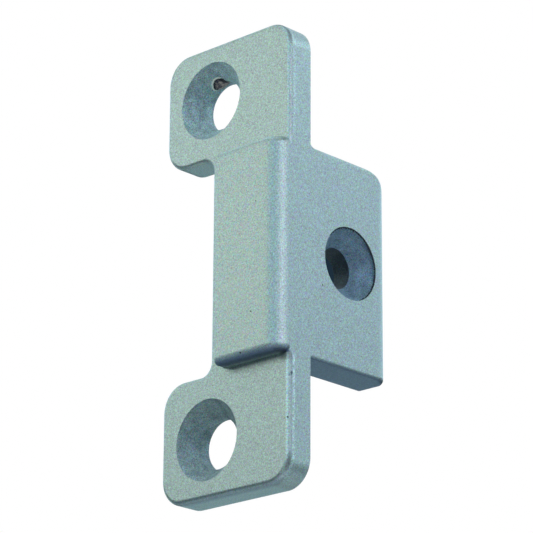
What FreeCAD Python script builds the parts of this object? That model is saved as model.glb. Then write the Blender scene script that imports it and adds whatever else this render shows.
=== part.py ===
import FreeCAD
import Part
import math
import os

# A door strike plate cast in one piece: a flat flange with a screw tab at each end,
# a raised pad that the latch bolt rides over, and a leg that wraps the corner of the post.
# All sizes are in millimetres. X runs from the free edge of the tabs to the leg's outer side,
# Y runs from the front of the flange to its seat, and Z runs up along the plate.
# The origin is halfway between the two tab screws, on the seat at the back of the flange.

# Flange
plate_height = 50.8
plate_width = 18.3
plate_thick = 3.25
tab_corner_radius = 3.0
front_edge_radius = 0.5

# Tabs, and the notch between them that the latch bolt drops into
tab_height = 13.35
notch_depth = 7.0
notch_fillet_radius = 1.5

# Screw holes in the tabs
screw_to_end = 6.35
screw_to_free_edge = 6.6
screw_hole_radius = 2.8
screw_rim_radius = 4.4
countersink_angle = 82.0

# Raised pad, which stops a little short of both tabs
pad_gap = 0.25
pad_margin = 2.2
pad_rise = 1.75
pad_round_radius = 2.0
pad_edge_radius = 0.3
pad_end_radius = 0.75
pad_side_foot_radius = 0.4

# Leg, which also stops short of both tabs and is rounder at its top than at its bottom
leg_top_gap = 0.45
leg_bottom_gap = 0.25
leg_thick = 4.4
leg_depth = 16.3
leg_top_corner_radius = 4.0
leg_bottom_corner_radius = 0.7
leg_rear_round = 2.7
leg_inner_round = 0.5
leg_edge_radius = 0.4
leg_root_fillet = 0.8
leg_top_fillet = 0.9
leg_bottom_fillet = 0.3

# Screw hole in the leg
leg_screw_from_front = 9.5
leg_screw_radius = 2.25
leg_rim_radius = 4.0
leg_rim_land = 0.2

# Places that follow from the sizes above
free_x = -screw_to_free_edge
side_x = free_x + plate_width
middle_x = free_x + notch_depth
pad_x = middle_x + pad_margin
leg_inner_x = side_x - leg_thick
front_y = -plate_thick
seat_y = 0.0
pad_y = front_y - pad_rise
leg_y = front_y + leg_depth
leg_screw_y = front_y + leg_screw_from_front
top_z = plate_height / 2.0
notch_z = top_z - tab_height
pad_z = notch_z - pad_gap
leg_top_z = notch_z - leg_top_gap
leg_bottom_z = leg_bottom_gap - notch_z
screw_z = top_z - screw_to_end
cone_slope = math.tan(math.radians(countersink_angle / 2.0))
screw_cone_depth = (screw_rim_radius - screw_hole_radius) / cone_slope
leg_cone_depth = (leg_rim_radius - leg_screw_radius) / cone_slope

# How far bodies that are joined reach into each other, and cutters past what they cut
overlap = 1.0

# Edges shorter than the first are left out; an edge lies on a face that is nearer than the second
shortest_edge = 1e-6
on_face = 0.001
quarter_turn = 90.0


def outline(corners):
    """Closed outline through corners of (point, radius), each corner rounded by its radius."""
    count = len(corners)
    starts = []
    ends = []
    arcs = []
    for index in range(count):
        corner, radius = corners[index]
        if radius == 0:
            starts.append(corner)
            ends.append(corner)
            arcs.append(None)
            continue
        to_previous = (corners[index - 1][0] - corner).normalize()
        to_next = (corners[(index + 1) % count][0] - corner).normalize()
        half_angle = to_previous.getAngle(to_next) / 2.0
        reach = radius / math.tan(half_angle)
        bisector = (to_previous + to_next).normalize()
        middle = corner + bisector * (radius / math.sin(half_angle) - radius)
        starts.append(corner + to_previous * reach)
        ends.append(corner + to_next * reach)
        arcs.append(Part.Arc(starts[-1], middle, ends[-1]).toShape())
    edges = []
    for index in range(count):
        if arcs[index] is not None:
            edges.append(arcs[index])
        following = (index + 1) % count
        if ends[index].distanceToPoint(starts[following]) > shortest_edge:
            edges.append(Part.makeLine(ends[index], starts[following]))
    return Part.Face(Part.Wire(edges))


def front_outline(corners, y):
    """Outline seen from the front, from corners of (x, z, radius)."""
    return outline([(FreeCAD.Vector(x, y, z), radius) for x, z, radius in corners])


def side_outline(corners, x):
    """Outline seen from the side, from corners of (y, z, radius)."""
    return outline([(FreeCAD.Vector(x, y, z), radius) for y, z, radius in corners])


def plan_outline(corners, z):
    """Outline seen from above, from corners of (x, y, radius)."""
    return outline([(FreeCAD.Vector(x, y, z), radius) for x, y, radius in corners])


def flange():
    """The flat flange with its two tabs, the notch between them and soft front edges."""
    corners = [
        (side_x, top_z, tab_corner_radius),
        (free_x, top_z, tab_corner_radius),
        (free_x, notch_z, tab_corner_radius),
        (middle_x, notch_z, notch_fillet_radius),
        (middle_x, -notch_z, notch_fillet_radius),
        (free_x, -notch_z, tab_corner_radius),
        (free_x, -top_z, tab_corner_radius),
        (side_x, -top_z, tab_corner_radius),
    ]
    body = front_outline(corners, front_y).extrude(FreeCAD.Vector(0, plate_thick, 0))
    front_edges = [edge for edge in body.Edges if edge.BoundBox.YMax < front_y + on_face]
    return body.makeFillet(front_edge_radius, front_edges)


def pad():
    """The raised pad. The rounding of its two ends turns with the large round into the side."""
    inside_y = front_y + overlap
    foot_x = pad_x - pad_side_foot_radius
    round_x = side_x - pad_round_radius
    round_y = pad_y + pad_round_radius
    side_corners = [
        (inside_y, pad_z, 0),
        (pad_y, pad_z, pad_end_radius),
        (pad_y, -pad_z, pad_end_radius),
        (inside_y, -pad_z, 0),
    ]
    plan_corners = [
        (foot_x, inside_y, 0),
        (foot_x, front_y, 0),
        (pad_x, front_y, pad_side_foot_radius),
        (pad_x, pad_y, pad_edge_radius),
        (round_x, pad_y, 0),
        (round_x, inside_y, 0),
    ]
    across = side_outline(side_corners, foot_x)
    across = across.extrude(FreeCAD.Vector(round_x - foot_x, 0, 0))
    along = plan_outline(plan_corners, -pad_z)
    along = along.extrude(FreeCAD.Vector(0, 0, 2.0 * pad_z))
    front = across.common(along)
    round_corners = [
        (round_y, pad_z, 0),
        (pad_y, pad_z, pad_end_radius),
        (pad_y, -pad_z, pad_end_radius),
        (round_y, -pad_z, 0),
    ]
    axis_point = FreeCAD.Vector(round_x, round_y, 0)
    upward = FreeCAD.Vector(0, 0, 1)
    turn = side_outline(round_corners, round_x).revolve(axis_point, upward, quarter_turn)
    end_corners = [
        (round_x, pad_z, 0),
        (side_x, pad_z, pad_end_radius),
        (side_x, -pad_z, pad_end_radius),
        (round_x, -pad_z, 0),
    ]
    side = front_outline(end_corners, round_y).extrude(FreeCAD.Vector(0, inside_y - round_y, 0))
    return front.fuse([turn, side]).removeSplitter()


def leg():
    """The leg, rounded at its rear corners, along its rear edge and along its ends."""
    inside_y = seat_y - overlap
    root_top_z = leg_top_z + leg_top_fillet
    root_bottom_z = leg_bottom_z - leg_bottom_fillet
    side_corners = [
        (inside_y, root_top_z, 0),
        (seat_y, root_top_z, 0),
        (seat_y, leg_top_z, leg_top_fillet),
        (leg_y, leg_top_z, leg_top_corner_radius),
        (leg_y, leg_bottom_z, leg_bottom_corner_radius),
        (seat_y, leg_bottom_z, leg_bottom_fillet),
        (seat_y, root_bottom_z, 0),
        (inside_y, root_bottom_z, 0),
    ]
    root_x = leg_inner_x - leg_root_fillet
    plan_corners = [
        (side_x, inside_y, 0),
        (side_x, leg_y, leg_rear_round),
        (leg_inner_x, leg_y, leg_inner_round),
        (leg_inner_x, seat_y, leg_root_fillet),
        (root_x, seat_y, 0),
        (root_x, inside_y, 0),
    ]
    across = side_outline(side_corners, root_x)
    across = across.extrude(FreeCAD.Vector(side_x - root_x, 0, 0))
    along = plan_outline(plan_corners, root_bottom_z)
    along = along.extrude(FreeCAD.Vector(0, 0, root_top_z - root_bottom_z))
    body = across.common(along)
    # the rounding runs on from these two straight edges around both rear corners
    outer_edges = [
        edge for edge in body.Edges
        if edge.BoundBox.XMin > side_x - on_face
        and edge.BoundBox.ZLength < on_face
        and edge.BoundBox.YLength > overlap + on_face
    ]
    return body.makeFillet(leg_edge_radius, outer_edges)


def countersunk_hole(rim, direction, rim_radius, land, cone_depth, hole_radius, depth):
    """Cutter for a screw hole: a short straight rim, a cone, then a plain bore right through."""
    before_rim = rim - direction * overlap
    mouth = Part.makeCylinder(rim_radius, overlap + land, before_rim, direction)
    cone = Part.makeCone(rim_radius, hole_radius, cone_depth, rim + direction * land, direction)
    bore = Part.makeCylinder(hole_radius, depth + 2.0 * overlap, before_rim, direction)
    return bore.fuse([mouth, cone])


def strike_plate():
    """The whole casting with its three screw holes."""
    body = flange().fuse([pad(), leg()]).removeSplitter()
    into_post = FreeCAD.Vector(0, 1, 0)
    cutters = []
    for z in (screw_z, -screw_z):
        rim = FreeCAD.Vector(0, front_y, z)
        cutters.append(countersunk_hole(rim, into_post, screw_rim_radius, 0.0,
                                        screw_cone_depth, screw_hole_radius, plate_thick))
    leg_rim = FreeCAD.Vector(side_x, leg_screw_y, 0)
    cutters.append(countersunk_hole(leg_rim, FreeCAD.Vector(-1, 0, 0), leg_rim_radius, leg_rim_land,
                                    leg_cone_depth, leg_screw_radius, leg_thick))
    return body.cut(cutters).removeSplitter()


shape = strike_plate()
if shape.ShapeType != "Solid":
    shape = shape.Solids[0]
os.makedirs("parts", exist_ok=True)
shape.exportStep("parts/strike_plate.step")
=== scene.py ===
import bpy
import math
import random
from mathutils import Matrix, Vector


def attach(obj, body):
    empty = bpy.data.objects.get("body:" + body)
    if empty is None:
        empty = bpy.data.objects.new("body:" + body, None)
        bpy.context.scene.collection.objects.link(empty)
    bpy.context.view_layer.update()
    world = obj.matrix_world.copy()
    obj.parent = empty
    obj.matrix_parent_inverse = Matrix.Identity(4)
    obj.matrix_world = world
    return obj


# A cast door strike plate in satin silver grey paint, with countersinks cut through the paint.
# It is seen from its front and its leg's side, from a little below. The frame is the CAD's:
# X runs to the leg's outer side, Y runs from the front into the post, Z runs up.
# Lengths are in metres and angles in degrees unless a comment says otherwise.

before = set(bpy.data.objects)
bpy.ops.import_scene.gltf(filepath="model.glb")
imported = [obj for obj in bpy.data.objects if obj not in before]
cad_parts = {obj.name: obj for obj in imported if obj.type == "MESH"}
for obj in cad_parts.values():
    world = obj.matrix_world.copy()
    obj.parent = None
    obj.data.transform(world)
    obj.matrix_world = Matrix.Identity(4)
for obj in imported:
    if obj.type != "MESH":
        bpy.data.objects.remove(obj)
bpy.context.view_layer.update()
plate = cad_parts["strike_plate"]

MM = 0.001


def mm(*lengths):
    """Lengths given in millimetres, in metres."""
    return tuple(length * MM for length in lengths)


# Camera
CAMERA_TARGET = Vector((1.526, 4.075, 1.523)) * MM
CAMERA_DISTANCE = 295.77 * MM
CAMERA_AZIMUTH = 43.48
CAMERA_ELEVATION = -19.137
CAMERA_ROLL = 0.348
CAMERA_LENS = 185.33
SENSOR_WIDTH = 36.0
CAMERA_CLIP = (0.01, 20.0)

# Floor, with a wide light of its own that shines only down on it
FLOOR_Z = -0.66
FLOOR_SIZE = 2.2
FLOOR_COLOUR = (0.82, 0.83, 0.84, 1.0)
FLOOR_ROUGHNESS = 0.8
FLOOR_LIGHT_Z = -0.35
FLOOR_LIGHT_SIZE = 1.4
FLOOR_LIGHT_WATTS = (1.5, 1.45, 1.35)

# A ring of soft lights around the part. Every light has the ring's own watts of red, green and
# blue, and more where it belongs to a bank: middle azimuth, spread, and the watts it adds.
LIGHT_DISTANCE = 0.9
RING_AZIMUTHS = range(-130, 230, 20)
RING_ELEVATION = 20.0
RING_LIGHT_SIZE = 0.32
RING_WATTS = (0.31, 0.41, 0.48)
BANKS = [
    (-34.0, 22.0, (0.30, 0.17, 0.00)),
    (16.0, 20.0, (0.06, 0.11, 0.13)),
    (78.0, 20.0, (0.76, 0.64, 0.72)),
    (140.0, 25.0, (-0.18, -0.28, -0.31)),
]

# Single soft lights: name, azimuth, elevation, size, watts of red, green and blue
SOFTBOXES = [
    ("high_left_softbox", -66.0, 48.0, 0.50, (0.70, 0.76, 0.76)),
    ("high_front_softbox", -16.0, 58.0, 0.60, (0.62, 0.70, 0.70)),
    ("high_front_side_softbox", 42.0, 57.0, 0.45, (0.28, 0.34, 0.36)),
    ("high_far_left_softbox", -115.0, 42.0, 0.50, (0.75, 0.90, 0.95)),
    ("high_side_softbox", 150.0, 42.0, 0.50, (0.66, 0.78, 0.88)),
    ("upper_side_softbox", 137.0, 36.0, 0.25, (0.40, 0.48, 0.50)),
    ("high_rear_softbox", 200.0, 42.0, 0.50, (0.66, 0.80, 0.90)),
    ("top_softbox", 0.0, 80.0, 0.60, (0.90, 1.08, 1.15)),
    ("level_left_softbox", -102.0, -8.0, 0.40, (0.34, 0.44, 0.50)),
    ("low_left_softbox", -65.0, -43.0, 0.50, (0.08, 0.13, 0.12)),
    ("low_side_softbox", 157.0, -42.0, 0.50, (0.08, 0.15, 0.20)),
    ("level_side_softbox", 140.0, -2.0, 0.30, (0.54, 0.70, 0.74)),
    ("low_rear_softbox", 223.0, -14.0, 0.30, (0.12, 0.19, 0.21)),
]
SURROUNDINGS_COLOUR = (0.50, 0.75, 1.0, 1.0)
SURROUNDINGS_STRENGTH = 0.02
BACKDROP_COLOUR = (1.0, 1.0, 1.0, 1.0)

# What shows through the leg's hole is in shade in the photograph. The rest of that patch of the
# backdrop is hidden behind the part. The radius is an angle.
SHADE_DIRECTION = (-0.633173, 0.701858, 0.326323)
SHADE_RADIUS = 0.5
SHADE_COLOUR = (0.013, 0.028, 0.045, 1.0)

# Part
SIDE_X = 11.7 * MM
TAB_SCREW_Z = 19.05 * MM
TAB_RIM_RADIUS = 4.4 * MM
TAB_BORE_RADIUS = 2.8 * MM
TAB_CONE_END_Y = -1.41 * MM
CONE_SLOPE = math.tan(math.radians(41.0))
LEG_SCREW_Y = 6.25 * MM
LEG_RIM_RADIUS = 4.0 * MM
LEG_BORE_RADIUS = 2.27 * MM
LEG_INNER_X = 7.3 * MM
LEG_BORE_START_X = 9.49 * MM
SKIN = 0.02 * MM

# Finish: colours, some of them painted shade, then metallic and roughness on the paint and on the
# cut metal, then the pit's
PAINT_COLOUR = (0.42, 0.54, 0.52, 1.0)
TAB_CUT_COLOUR = (0.29, 0.395, 0.405, 1.0)
LEG_CUT_COLOUR = (0.23, 0.35, 0.44, 1.0)
# Painted shade in the leg's bore
BORE_SHADE_COLOUR = (0.06, 0.085, 0.10, 1.0)
# Painted shade along the tab's bottom edge
EDGE_SHADE_COLOUR = (0.22, 0.30, 0.36, 1.0)
# Painted shade in the crease under the pad
PAINTED_CREASE_SHADE = (0.115, 0.165, 0.25, 1.0)
# Painted shade on the leg's underside
LEG_UNDERSIDE_SHADE = (0.145, 0.205, 0.275, 1.0)
METALLIC = (0.6, 0.4)
ROUGHNESS = (0.42, 0.62)
PIT_DARK = (0.07, 0.06, 0.09, 1.0)
PIT_LIGHT = (0.62, 0.50, 0.42, 1.0)
PIT_BLOTCH_SIZE = 0.32 * MM
PIT_BLOTCH = (0.35, 0.68)

# Grain, the cut metal's blotches and the paint's peel
GRAIN_SIZE = 0.13 * MM
GRAIN_TONE = 1.2
GRAIN_TINT = 1.3
CUT_GRAIN = 1.35
CUT_BLOTCH_SIZE = 0.9 * MM
CUT_BLOTCH = 1.1
PEEL_SIZE = 0.5 * MM
PEEL_STRENGTH = 0.12
PEEL_HEIGHT = 0.02 * MM

# Where painted shade and painted highlights change the paint's colour or tone with the place. Every
# pair runs from the place where a change starts to the place where it has its full share.
CREASE_Z = mm(-11.05, -11.7)
CREASE_FOOT_Z = mm(-11.95, -11.78)
CREASE_Y = mm(-3.10, -4.1)
PAD_CORNER_X = mm(10.2, 11.2)
PAD_CORNER_Y = mm(-2.9, -3.2)
LEG_UNDERSIDE_Z = mm(-11.5, -11.78)
BOTTOM_EDGE_Z = mm(-24.75, -25.1)
BOTTOM_EDGE_Y = mm(-2.0, -2.6)
BOTTOM_EDGE_SHARE = 0.55

# Painted highlights on the rounding of the pad's two ends, then painted shade below the pad and in
# its nook
UPPER_STEP_PAINTED_LIGHT = 1.8
UPPER_STEP_Z = mm(11.3, 11.7)
UPPER_STEP_END_Z = 11.81 * MM
UPPER_STEP_Y = -3.0 * MM
UPPER_STEP_LEFT_X = mm(2.6, 3.4)
UPPER_STEP_RIGHT_X = mm(11.0, 9.8)
LOWER_STEP_PAINTED_LIGHT = 1.7
LOWER_STEP_START_Z = mm(-11.10, -11.25)
LOWER_STEP_END_Z = mm(-11.65, -11.35)
LOWER_STEP_Y = -3.4 * MM
BELOW_PAD_PAINTED_SHADE = 0.22
BELOW_PAD_Z = mm(-13.3, -12.0)
BELOW_PAD_START_Z = -11.81 * MM
BELOW_PAD_X = mm(2.6, 4.2)
BELOW_PAD_Y = -3.2 * MM
NOOK_PAINTED_SHADE = 0.42
NOOK_X = 11.1 * MM
NOOK_Z = -12.0 * MM
NOOK_RADIUS = mm(0.95, 0.3)
NOOK_Y = -2.8 * MM
# Painted light on the upper countersink, more towards its right
UPPER_CUT_PAINTED_LIGHT = 1.28
UPPER_CUT_SIDE_PAINTED_LIGHT = 0.5
UPPER_CUT_SIDE_X = mm(-1.0, 2.5)

# Painted highlights: bright lines on both sides of the tabs' front edge, with a line of painted
# shade between them. They follow the tab's corner, so they are placed by the distance from the
# middle of its round.
EDGE_PAINTED_LIGHT = 0.52
UPPER_EDGE_PAINTED_LIGHT = 0.5
EDGE_LIGHT_CORNER_X = 8.7 * MM
EDGE_LIGHT_CORNER_Z = 22.4 * MM
EDGE_LIGHT_START_Z = mm(11.7, 12.1)
EDGE_LIGHT_FADE = mm(2.4, 1.6)
FRONT_LINE = 2.70 * MM
FRONT_LINE_WIDTH = mm(0.19, 0.02)
FRONT_LINE_Y = -2.98 * MM
SHADE_LINE_DEPTH = 0.42
SHADE_LINE_Y = -2.96 * MM
SHADE_LINE_WIDTH = mm(0.24, 0.04)
SHADE_LINE_START = 2.75 * MM
SHADE_LINE_DEEPER_Z = mm(-13.4, -12.3)
SIDE_LINE_Y = -2.52 * MM
SIDE_LINE_WIDTH = mm(0.28, 0.06)
SIDE_LINE_START = 2.9 * MM
SIDE_LINE_BLOTCH_SIZE = 0.35 * MM
SIDE_LINE_BLOTCH = (0.36, 0.60)

# Dark specks in the paint, in millimetres: place, the surface's normal, radius
SPECKS = [
    ((11.7, 1.892, -3.459), (1, 0, 0), 0.075),
    ((7.928, -5.0, -7.173), (0, -1, 0), 0.085),
    ((6.446, -4.951, -11.314), (0, -0.937, -0.349), 0.10),
    ((11.485, -3.16, -18.784), (0.599, -0.801, 0), 0.09),
    ((8.523, -5.0, 4.81), (0, -1, 0), 0.06),
]


def direction(azimuth, elevation):
    """Unit vector from the part towards a place at this azimuth and elevation."""
    around = math.radians(azimuth)
    up = math.radians(elevation)
    return Vector((math.sin(around) * math.cos(up), -math.cos(around) * math.cos(up), math.sin(up)))


def add_camera():
    """Camera at the photograph's viewing angle."""
    data = bpy.data.cameras.new("photo_camera")
    data.sensor_width = SENSOR_WIDTH
    data.lens = CAMERA_LENS
    data.clip_start, data.clip_end = CAMERA_CLIP
    camera = bpy.data.objects.new("photo_camera", data)
    bpy.context.scene.collection.objects.link(camera)
    back = direction(CAMERA_AZIMUTH, CAMERA_ELEVATION)
    turn = (-back).to_track_quat("-Z", "Y").to_matrix().to_4x4()
    roll = Matrix.Rotation(math.radians(CAMERA_ROLL), 4, "Z")
    camera.matrix_world = Matrix.Translation(CAMERA_TARGET + back * CAMERA_DISTANCE) @ turn @ roll
    bpy.context.scene.camera = camera


def add_area_light(name, matrix, size, watts):
    """Square soft light, from its watts of red, green and blue."""
    strongest = max(watts)
    data = bpy.data.lights.new(name, "AREA")
    data.shape = "SQUARE"
    data.size = size
    data.energy = strongest
    data.color = [part / strongest for part in watts]
    light = bpy.data.objects.new(name, data)
    bpy.context.scene.collection.objects.link(light)
    light.matrix_world = matrix


def add_softbox(name, azimuth, elevation, size, watts):
    """Soft light aimed at the part."""
    towards = direction(azimuth, elevation)
    turn = towards.to_track_quat("Z", "Y").to_matrix().to_4x4()
    add_area_light(name, Matrix.Translation(towards * LIGHT_DISTANCE) @ turn, size, watts)


def add_lights():
    """The ring, brighter around the middle of each bank, the floor's light and the softboxes."""
    for azimuth in RING_AZIMUTHS:
        watts = list(RING_WATTS)
        for middle, spread, more in BANKS:
            share = math.exp(-((azimuth - middle) / spread) ** 2)
            watts = [own + share * added for own, added in zip(watts, more)]
        add_softbox("ring_softbox", azimuth, RING_ELEVATION, RING_LIGHT_SIZE, watts)
    above_floor = Matrix.Translation((0.0, 0.0, FLOOR_LIGHT_Z))
    add_area_light("floor_softbox", above_floor, FLOOR_LIGHT_SIZE, FLOOR_LIGHT_WATTS)
    for softbox in SOFTBOXES:
        add_softbox(*softbox)


class Tree:
    """Adds nodes to a node tree and joins them, so that a formula reads from left to right."""

    def __init__(self, owner):
        owner.use_nodes = True
        self.nodes = owner.node_tree.nodes
        self.links = owner.node_tree.links

    def add(self, kind, **settings):
        node = self.nodes.new(kind)
        for name, value in settings.items():
            setattr(node, name, value)
        return node

    def feed(self, socket, value):
        """Joins a socket to another node's output, or sets it to a fixed value."""
        if isinstance(value, bpy.types.NodeSocket):
            self.links.new(value, socket)
        else:
            socket.default_value = value

    def math(self, operation, *values):
        node = self.add("ShaderNodeMath", operation=operation)
        for socket, value in zip(node.inputs, values):
            self.feed(socket, value)
        return node.outputs["Value"]

    def product(self, first, *others):
        result = first
        for value in others:
            result = self.math("MULTIPLY", result, value)
        return result

    def one_plus(self, mask, amount):
        """Factor that is 1 outside the mask and 1 plus the amount inside it."""
        return self.math("ADD", self.math("MULTIPLY", mask, amount), 1.0)

    def length(self, a, b):
        return self.math("SQRT", self.math("ADD", self.product(a, a), self.product(b, b)))

    def ramp(self, value, low, high):
        """0 at low, 1 at high and smooth between them."""
        node = self.add("ShaderNodeMapRange", interpolation_type="SMOOTHSTEP")
        self.feed(node.inputs["Value"], value)
        node.inputs["From Min"].default_value = low
        node.inputs["From Max"].default_value = high
        return node.outputs["Result"]

    def line(self, value, middle, width):
        """1 along the middle, falling to 0 within the width: a pair of far and near."""
        return self.ramp(self.math("ABSOLUTE", self.math("SUBTRACT", value, middle)), *width)

    def between(self, value, at_zero, at_one):
        node = self.add("ShaderNodeMapRange")
        self.feed(node.inputs["Value"], value)
        node.inputs["To Min"].default_value = at_zero
        node.inputs["To Max"].default_value = at_one
        return node.outputs["Result"]

    def vector(self, operation, a, b):
        node = self.add("ShaderNodeVectorMath", operation=operation)
        self.feed(node.inputs[0], a)
        self.feed(node.inputs["Scale" if operation == "SCALE" else 1], b)
        return node.outputs["Value" if operation == "DOT_PRODUCT" else "Vector"]

    def mix(self, factor, a, b, blend="MIX"):
        node = self.add("ShaderNodeMix", data_type="RGBA", blend_type=blend)
        self.feed(node.inputs["Factor"], factor)
        colour_inputs = [socket for socket in node.inputs if socket.type == "RGBA"]
        self.feed(colour_inputs[0], a)
        self.feed(colour_inputs[1], b)
        return [socket for socket in node.outputs if socket.type == "RGBA"][0]

    def noise(self, position, size, detail, output="Fac"):
        node = self.add("ShaderNodeTexNoise")
        self.feed(node.inputs["Vector"], position)
        node.inputs["Scale"].default_value = 1.0 / size
        node.inputs["Detail"].default_value = detail
        return node.outputs[output]


def add_world():
    """Dim surroundings for the part, and a white backdrop behind it for the camera."""
    world = bpy.data.worlds.new("studio")
    tree = Tree(world)
    tree.nodes.clear()
    surroundings = tree.add("ShaderNodeBackground")
    surroundings.inputs["Color"].default_value = SURROUNDINGS_COLOUR
    surroundings.inputs["Strength"].default_value = SURROUNDINGS_STRENGTH
    towards = tree.add("ShaderNodeTexCoord").outputs["Generated"]
    nearness = tree.vector("DOT_PRODUCT", towards, SHADE_DIRECTION)
    shaded = tree.math("GREATER_THAN", nearness, math.cos(math.radians(SHADE_RADIUS)))
    backdrop = tree.add("ShaderNodeBackground")
    tree.feed(backdrop.inputs["Color"], tree.mix(shaded, BACKDROP_COLOUR, SHADE_COLOUR))
    mix = tree.add("ShaderNodeMixShader")
    tree.feed(mix.inputs["Fac"], tree.add("ShaderNodeLightPath").outputs["Is Camera Ray"])
    tree.feed(mix.inputs[1], surroundings.outputs["Background"])
    tree.feed(mix.inputs[2], backdrop.outputs["Background"])
    output = tree.add("ShaderNodeOutputWorld")
    tree.feed(output.inputs["Surface"], mix.outputs["Shader"])
    bpy.context.scene.world = world


def add_floor():
    """Plain pale floor, well below the part, which is held at its screw holes."""
    half = FLOOR_SIZE / 2.0
    corners = [(-half, -half, FLOOR_Z), (half, -half, FLOOR_Z), (half, half, FLOOR_Z),
               (-half, half, FLOOR_Z)]
    mesh = bpy.data.meshes.new("floor")
    mesh.from_pydata(corners, [], [(0, 1, 2, 3)])
    floor = bpy.data.objects.new("floor", mesh)
    bpy.context.scene.collection.objects.link(floor)
    mesh.materials.append(plain_material("pale_floor", FLOOR_COLOUR, 0.0, FLOOR_ROUGHNESS))


def plain_material(name, colour, metallic, roughness):
    """One even finish."""
    material = bpy.data.materials.new(name)
    material.use_nodes = True
    shader = material.node_tree.nodes["Principled BSDF"]
    shader.inputs["Base Color"].default_value = colour
    shader.inputs["Metallic"].default_value = metallic
    shader.inputs["Roughness"].default_value = roughness
    return material


def mottled_brown():
    """The pit's floor: a finish that changes in blotches between two colours."""
    material = plain_material("pit_brown", PIT_DARK, 0.1, 0.6)
    tree = Tree(material)
    place = tree.add("ShaderNodeTexCoord").outputs["Object"]
    blotch = tree.ramp(tree.noise(place, PIT_BLOTCH_SIZE, 2.0), *PIT_BLOTCH)
    colour = tree.mix(blotch, PIT_DARK, PIT_LIGHT)
    tree.feed(tree.nodes["Principled BSDF"].inputs["Base Color"], colour)
    return material


def cut_masks(tree, x, y, z):
    """Where the tabs' holes, the leg's hole and the leg's bore are bare metal, and where the leg's
    bore gets painted shade.
    """
    from_tab_screw = tree.math("SUBTRACT", tree.math("ABSOLUTE", z), TAB_SCREW_Z)
    from_tab_axis = tree.length(x, from_tab_screw)
    in_tab_hole = tree.product(tree.math("LESS_THAN", from_tab_axis, TAB_RIM_RADIUS),
                               tree.math("LESS_THAN", y, -SKIN))
    from_leg_axis = tree.length(tree.math("SUBTRACT", y, LEG_SCREW_Y), z)
    in_leg_cone = tree.product(tree.math("LESS_THAN", from_leg_axis, LEG_RIM_RADIUS),
                               tree.math("GREATER_THAN", x, LEG_INNER_X + SKIN))
    in_leg_hole = tree.math("MAXIMUM", in_leg_cone,
                            tree.math("LESS_THAN", from_leg_axis, LEG_BORE_RADIUS))
    leg_bore_shade = tree.product(in_leg_hole, tree.math("LESS_THAN", x, LEG_BORE_START_X))
    return in_tab_hole, in_leg_hole, leg_bore_shade


def shaded_paint(tree, x, y, z):
    """The paint's colour with painted shade: darker and bluer under the pad, at the bottom edge and
    under the leg.
    """
    pad_corner = tree.product(tree.ramp(x, *PAD_CORNER_X), tree.ramp(y, *PAD_CORNER_Y))
    off_tab = tree.math("MAXIMUM", tree.ramp(y, *CREASE_Y), pad_corner)
    # painted shade in the crease under the pad
    painted_shade_under_pad = tree.product(tree.ramp(z, *CREASE_Z), tree.ramp(z, *CREASE_FOOT_Z), off_tab)
    # painted shade along the tab's bottom edge
    painted_edge_shade = tree.product(tree.ramp(z, *BOTTOM_EDGE_Z), tree.ramp(y, *BOTTOM_EDGE_Y),
                               BOTTOM_EDGE_SHARE)
    # painted shade on the leg's underside
    painted_shade_under_leg = tree.product(tree.math("GREATER_THAN", y, SKIN), tree.ramp(z, *LEG_UNDERSIDE_Z))
    colour = tree.mix(painted_shade_under_pad, PAINT_COLOUR, PAINTED_CREASE_SHADE)
    colour = tree.mix(painted_edge_shade, colour, EDGE_SHADE_COLOUR)
    return tree.mix(painted_shade_under_leg, colour, LEG_UNDERSIDE_SHADE)


def pad_painted_light(tree, x, y, z):
    """Factor of painted highlights on the rounding of the pad's two ends, and of painted shade on
    the tab below the pad and in the nook at its right end.
    """
    upper_step = tree.product(tree.ramp(z, *UPPER_STEP_Z),
                              tree.math("LESS_THAN", z, UPPER_STEP_END_Z),
                              tree.math("LESS_THAN", y, UPPER_STEP_Y),
                              tree.ramp(x, *UPPER_STEP_LEFT_X),
                              tree.ramp(x, *UPPER_STEP_RIGHT_X))
    lower_step = tree.product(tree.ramp(z, *LOWER_STEP_START_Z),
                              tree.ramp(z, *LOWER_STEP_END_Z),
                              tree.math("LESS_THAN", y, LOWER_STEP_Y))
    below_pad = tree.product(tree.ramp(z, *BELOW_PAD_Z),
                             tree.math("LESS_THAN", z, BELOW_PAD_START_Z),
                             tree.ramp(x, *BELOW_PAD_X),
                             tree.math("LESS_THAN", y, BELOW_PAD_Y))
    from_nook = tree.length(tree.math("SUBTRACT", x, NOOK_X), tree.math("SUBTRACT", z, NOOK_Z))
    nook = tree.product(tree.ramp(from_nook, *NOOK_RADIUS), tree.math("LESS_THAN", y, NOOK_Y))
    return tree.product(tree.one_plus(upper_step, UPPER_STEP_PAINTED_LIGHT - 1.0),
                        tree.one_plus(lower_step, LOWER_STEP_PAINTED_LIGHT - 1.0),
                        tree.one_plus(below_pad, -BELOW_PAD_PAINTED_SHADE),
                        tree.one_plus(nook, -NOOK_PAINTED_SHADE))


def cut_light_and_blotch(tree, place, x, z, in_tab_hole, is_cut):
    """Factor of painted light that lifts the upper countersink, most on its right, and blotches the
    cut metal.
    """
    sideways = tree.product(tree.ramp(x, *UPPER_CUT_SIDE_X), UPPER_CUT_SIDE_PAINTED_LIGHT)
    lift = tree.product(in_tab_hole, tree.math("GREATER_THAN", z, 0.0),
                        tree.math("ADD", sideways, UPPER_CUT_PAINTED_LIGHT - 1.0))
    blotch = tree.math("SUBTRACT", tree.noise(place, CUT_BLOTCH_SIZE, 3.0), 0.5)
    return tree.product(tree.math("ADD", lift, 1.0),
                        tree.one_plus(tree.product(blotch, is_cut), CUT_BLOTCH))


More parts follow.
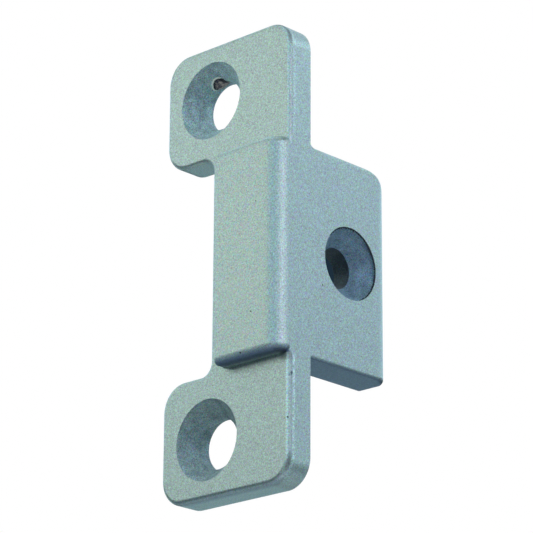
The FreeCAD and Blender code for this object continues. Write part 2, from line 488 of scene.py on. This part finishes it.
def painted_edge_light(tree, place, x, y, z):
    """Factor that paints the thin bright lines of the tabs' side edges as painted highlights,
    broken up along them, with a line of painted shade between them.
    """
    height = tree.math("ABSOLUTE", z)
    past_x = tree.math("MAXIMUM", tree.math("SUBTRACT", x, EDGE_LIGHT_CORNER_X), 0.0)
    past_z = tree.math("MAXIMUM", tree.math("SUBTRACT", height, EDGE_LIGHT_CORNER_Z), 0.0)
    from_corner = tree.length(past_x, past_z)

    # painted highlights on both sides of the edge
    front_line = tree.product(tree.line(from_corner, FRONT_LINE, FRONT_LINE_WIDTH),
                              tree.math("LESS_THAN", y, FRONT_LINE_Y))
    blotch = tree.ramp(tree.noise(place, SIDE_LINE_BLOTCH_SIZE, 1.0), *SIDE_LINE_BLOTCH)
    side_line = tree.product(tree.line(y, SIDE_LINE_Y, SIDE_LINE_WIDTH),
                             tree.math("GREATER_THAN", from_corner, SIDE_LINE_START), blotch)
    # a line of painted shade between them, darker under the pad
    deeper = tree.product(tree.ramp(z, *SHADE_LINE_DEEPER_Z), tree.math("LESS_THAN", z, 0.0),
                          SHADE_LINE_DEPTH)
    shade_line = tree.product(tree.line(y, SHADE_LINE_Y, SHADE_LINE_WIDTH),
                          tree.math("GREATER_THAN", from_corner, SHADE_LINE_START),
                          tree.math("ADD", deeper, SHADE_LINE_DEPTH))

    lines = tree.math("SUBTRACT", tree.math("ADD", front_line, side_line), shade_line)
    upper = tree.one_plus(tree.math("GREATER_THAN", z, 0.0), UPPER_EDGE_PAINTED_LIGHT - 1.0)
    on_tab = tree.product(tree.ramp(height, *EDGE_LIGHT_START_Z), tree.ramp(past_z, *EDGE_LIGHT_FADE))
    return tree.one_plus(tree.product(lines, on_tab, upper), EDGE_PAINTED_LIGHT)


def grain(tree, place, is_cut):
    """Factor for red, green and blue: fine grain in tone and tint, stronger on the cut metal."""
    middle = (0.5, 0.5, 0.5)
    away = (1.0, 1.0, 1.0)
    tint = tree.vector("SUBTRACT", tree.noise(place, GRAIN_SIZE, 1.0, "Color"), middle)
    elsewhere = tree.vector("ADD", place, away)
    tone = tree.math("SUBTRACT", tree.noise(elsewhere, GRAIN_SIZE, 1.0), 0.5)
    stronger = tree.one_plus(is_cut, CUT_GRAIN - 1.0)
    return tree.vector("ADD",
                       tree.vector("SCALE", tint, tree.product(stronger, GRAIN_TINT)),
                       tree.one_plus(tree.product(stronger, tone), GRAIN_TONE))


def satin_paint():
    """Grainy satin paint, cut away where the countersinks were machined."""
    material = bpy.data.materials.new("satin_paint")
    tree = Tree(material)
    shader = tree.nodes["Principled BSDF"]
    place = tree.add("ShaderNodeTexCoord").outputs["Object"]
    split = tree.add("ShaderNodeSeparateXYZ")
    tree.feed(split.inputs["Vector"], place)
    x, y, z = split.outputs["X"], split.outputs["Y"], split.outputs["Z"]

    in_tab_hole, in_leg_hole, leg_bore_shade = cut_masks(tree, x, y, z)
    is_cut = tree.math("MAXIMUM", in_tab_hole, in_leg_hole)
    colour = tree.mix(in_tab_hole, shaded_paint(tree, x, y, z), TAB_CUT_COLOUR)
    colour = tree.mix(in_leg_hole, colour, LEG_CUT_COLOUR)
    # painted shade in the leg's bore
    colour = tree.mix(leg_bore_shade, colour, BORE_SHADE_COLOUR)
    colour = tree.mix(1.0, colour, grain(tree, place, is_cut), "MULTIPLY")
    tone = tree.product(pad_painted_light(tree, x, y, z),
                        cut_light_and_blotch(tree, place, x, z, in_tab_hole, is_cut),
                        painted_edge_light(tree, place, x, y, z))
    tree.feed(shader.inputs["Base Color"], tree.vector("SCALE", colour, tone))
    tree.feed(shader.inputs["Metallic"], tree.between(is_cut, *METALLIC))
    tree.feed(shader.inputs["Roughness"], tree.between(is_cut, *ROUGHNESS))

    bump = tree.add("ShaderNodeBump")
    bump.inputs["Strength"].default_value = PEEL_STRENGTH
    bump.inputs["Distance"].default_value = PEEL_HEIGHT
    tree.feed(bump.inputs["Height"], tree.noise(place, PEEL_SIZE, 2.0))
    tree.feed(shader.inputs["Normal"], bump.outputs["Normal"])
    return material


def add_piece(name, points, faces, material, slot=None):
    """Mesh piece that goes with the plate."""
    mesh = bpy.data.meshes.new(name)
    mesh.from_pydata(points, [], faces)
    mesh.shade_smooth()
    mesh.materials.append(material)
    piece = bpy.data.objects.new(name, mesh)
    bpy.context.scene.collection.objects.link(piece)
    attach(piece, "root")


def lump(centre, axes, roughen, seed, rings, steps):
    """Points and faces of a rough ellipsoid: axes are three vectors of its half sizes."""
    chance = random.Random(seed)
    points = [centre + axes[2]]
    for ring in range(1, rings):
        tilt = math.pi * ring / rings
        for step in range(steps):
            turn = 2.0 * math.pi * step / steps
            scale = 1.0 + roughen * (chance.random() - 0.5)
            around = (axes[0] * math.cos(turn) + axes[1] * math.sin(turn)) * math.sin(tilt)
            points.append(centre + (around + axes[2] * math.cos(tilt)) * scale)
    points.append(centre - axes[2])
    faces = []
    last = len(points) - 1
    for step in range(steps):
        following = (step + 1) % steps
        faces.append((0, 1 + step, 1 + following))
        for ring in range(rings - 2):
            near = 1 + ring * steps
            far = near + steps
            faces.append((near + step, far + step, far + following, near + following))
        faces.append((last, last - steps + following, last - steps + step))
    return points, faces


def joined(parts):
    """Points and faces of several meshes as one."""
    points = []
    faces = []
    for some_points, some_faces in parts:
        start = len(points)
        points.extend(some_points)
        faces.extend(tuple(start + index for index in face) for face in some_faces)
    return points, faces


def band(rings, closed=True):
    """Points and faces of the strips between rings of points."""
    count = len(rings[0])
    points = [point for ring in rings for point in ring]
    faces = []
    for ring in range(len(rings) - 1):
        for step in range(count if closed else count - 1):
            following = (step + 1) % count
            faces.append((ring * count + step, ring * count + following,
                          (ring + 1) * count + following, (ring + 1) * count + step))
    return points, faces


def add_specks(material):
    """Tiny dark specks in the paint, flat and a little longer than wide."""
    first_seed = 40
    height = 0.03 * MM
    stretch = 1.3
    parts = []
    for index, (place, normal, radius) in enumerate(SPECKS):
        out = Vector(normal).normalized()
        side = out.orthogonal().normalized()
        across = out.cross(side)
        axes = (side * radius * MM, across * radius * stretch * MM, out * height)
        parts.append(lump(Vector(place) * MM, axes, 0.3, first_seed + index, rings=6, steps=10))
    add_piece("paint_specks", *joined(parts), material)


def add_edge_beads(material):
    """Paint gathered in small beads along the lower tab's side edge. Sizes in mm."""
    top_z, bottom_z = -13.0, -22.0
    line_y, sideways = -2.45, 0.08
    sizes, stretches, gaps = (0.06, 0.12), (1.2, 2.6), (0.1, 0.8)
    height, sunk = 0.6, 0.35
    chance = random.Random(7)
    parts = []
    z = top_z
    while z > bottom_z:
        size = chance.uniform(*sizes)
        length = size * chance.uniform(*stretches)
        y = line_y + chance.uniform(-sideways, sideways)
        centre = Vector((SIDE_X / MM - sunk * size, y, z))
        axes = (Vector((0, size, 0)), Vector((0, 0, length)), Vector((size * height, 0, 0)))
        axes = [axis * MM for axis in axes]
        parts.append(lump(centre * MM, axes, 0.15, seed=int(-z * 100), rings=8, steps=12))
        z -= length + chance.uniform(*gaps)
    add_piece("paint_beads", *joined(parts), material, "satin_paint")


def add_bubble(paint, shade):
    """Bubble in the paint of the same edge, burst open at its upper rear side. Sizes in mm."""
    centre = Vector((11.42, -2.83, -14.2))
    out = Vector((0.80, -0.60, 0.0))
    side = Vector((0.60, 0.80, 0.0))
    up = Vector((0.0, 0.0, 1.0))
    axes = (side * 0.32 * MM, up * 0.34 * MM, out * 0.30 * MM)
    points, faces = lump(centre * MM, axes, 0.06, seed=3, rings=12, steps=24)
    add_piece("paint_bubble", points, faces, paint, "satin_paint")
    mouth = centre + out * 0.22 + side * 0.14 + up * 0.12
    axes = ((side * 0.8 + out * 0.25) * 0.16 * MM, up * 0.24 * MM, out * 0.10 * MM)
    points, faces = lump(mouth * MM, axes, 0.2, seed=12, rings=8, steps=14)
    add_piece("bubble_mouth", points, faces, shade)


def hole_wall(turn, depth_y, lift):
    """Point on the upper tab hole's wall, lifted off it towards the hole's axis."""
    radius = TAB_BORE_RADIUS
    if depth_y < TAB_CONE_END_Y:
        radius += (TAB_CONE_END_Y - depth_y) * CONE_SLOPE
    radius -= lift
    return Vector((radius * math.sin(turn), depth_y, TAB_SCREW_Z + radius * math.cos(turn)))


def add_pit(floor, shadow, lip):
    """Casting pit in the upper hole's wall: a brown floor, a dark inner edge of painted shadow and
    a bright lip.
    """
    chance = random.Random(21)
    centre_turn = math.radians(-10.0)
    centre_y = -1.12 * MM
    half_across = 1.05 * MM
    half_deep = 0.72 * MM
    steps = 60
    wobble = [1.0 + 0.08 * (chance.random() - 0.5) for _ in range(steps)]

    def place(step, share, lift):
        """Point of the pit, from its middle at share 0 to its outline at share 1."""
        angle = 2.0 * math.pi * step / steps
        reach = share * wobble[step]
        turn = centre_turn + reach * half_across * math.cos(angle) / TAB_BORE_RADIUS
        return hole_wall(turn, centre_y + reach * half_deep * math.sin(angle), lift)

    def near(step, middle, spread):
        """1 at the middle angle of the outline and 0 beyond the spread to both sides of it."""
        away = (360.0 * step / steps - middle + 180.0) % 360.0 - 180.0
        return max(0.0, math.cos(math.radians(90.0 * min(1.0, abs(away) / spread))))

    rings = [
        [place(step, share, (0.02 + 0.05 * chance.random()) * MM) for step in range(steps)]
        for share in (0.25, 0.5, 0.75, 1.0)
    ]
    points, faces = band(rings)
    points.append(place(0, 0.0, 0.04 * MM))
    faces.extend((len(points) - 1, (step + 1) % steps, step) for step in range(steps))
    add_piece("pit_floor", points, faces, floor)

    # the shadow is widest towards the plate's front, to the left and to the right
    inner, outer = [], []
    for step in range(steps):
        width = 0.20 * near(step, 215.0, 80.0) + 0.45 * near(step, 328.0, 50.0)
        inner.append(place(step, 1.0 - width, 0.08 * MM))
        outer.append(place(step, 1.02, 0.06 * MM))
    add_piece("pit_shadow", *band([inner, outer]), shadow)

    # the lip's cross-section: share of the outline, lift in millimetres. It fades to both ends.
    profile = ((0.99, 0.0), (1.03, 0.10), (1.10, 0.14), (1.17, 0.08), (1.22, -0.02))
    closeness = [(step, near(step, 222.0, 85.0)) for step in range(steps)]
    swell = [(step, close ** 0.5) for step, close in closeness if close > 0.02]
    rings = [
        [place(step, 1.0 + (share - 1.0) * full, (lift * full - 0.01) * MM) for step, full in swell]
        for share, lift in profile
    ]
    add_piece("pit_lip", *band(rings, closed=False), lip)


def add_rim_burr(material):
    """Fine ragged burr where the leg's countersink breaks through the paint, highest midway."""
    chance = random.Random(5)
    steps = 220
    start, sweep = -70.0, 215.0
    outer, top, inner = [], [], []

    def point(angle, radius, rise):
        along, up = radius * math.cos(angle), radius * math.sin(angle)
        return Vector((SIDE_X + rise, LEG_SCREW_Y + along, up))

    for step in range(steps + 1):
        share = step / steps
        angle = math.radians(start + sweep * share)
        fade = math.sin(math.pi * share) ** 0.5
        tooth = LEG_RIM_RADIUS - (0.04 + (0.06 + 0.20 * chance.random()) * fade) * MM
        wide = LEG_RIM_RADIUS + (0.02 + 0.05 * chance.random() * fade) * MM
        lift = (0.01 + 0.03 * chance.random() * fade) * MM
        outer.append(point(angle, wide, 0.0))
        top.append(point(angle, LEG_RIM_RADIUS, lift))
        inner.append(point(angle, tooth, -SKIN))
    add_piece("rim_burr", *band([outer, top, inner], closed=False), material)


add_camera()
add_world()
add_floor()
add_lights()

paint = satin_paint()
pit_brown = mottled_brown()
# The pit's dark inner edge is painted shadow.
pit_painted_shadow = plain_material("pit_painted_shadow", (0.035, 0.035, 0.04, 1.0), 0.0, 0.7)
dark_speck = plain_material("dark_speck", (0.05, 0.06, 0.06, 1.0), 0.0, 0.6)
bubble_shade = plain_material("bubble_shade", (0.12, 0.17, 0.22, 1.0), 0.2, 0.5)
lip_metal = plain_material("lip_metal", (0.92, 0.98, 0.88, 1.0), 0.2, 0.5)
burr_metal = plain_material("burr_metal", (0.012, 0.018, 0.025, 1.0), 0.2, 0.8)

plate.data.materials.clear()
plate.data.materials.append(paint)

add_specks(dark_speck)
add_edge_beads(paint)
add_bubble(paint, bubble_shade)
add_pit(pit_brown, pit_painted_shadow, lip_metal)
add_rim_burr(burr_metal)

bpy.context.scene.view_settings.view_transform = "Standard"
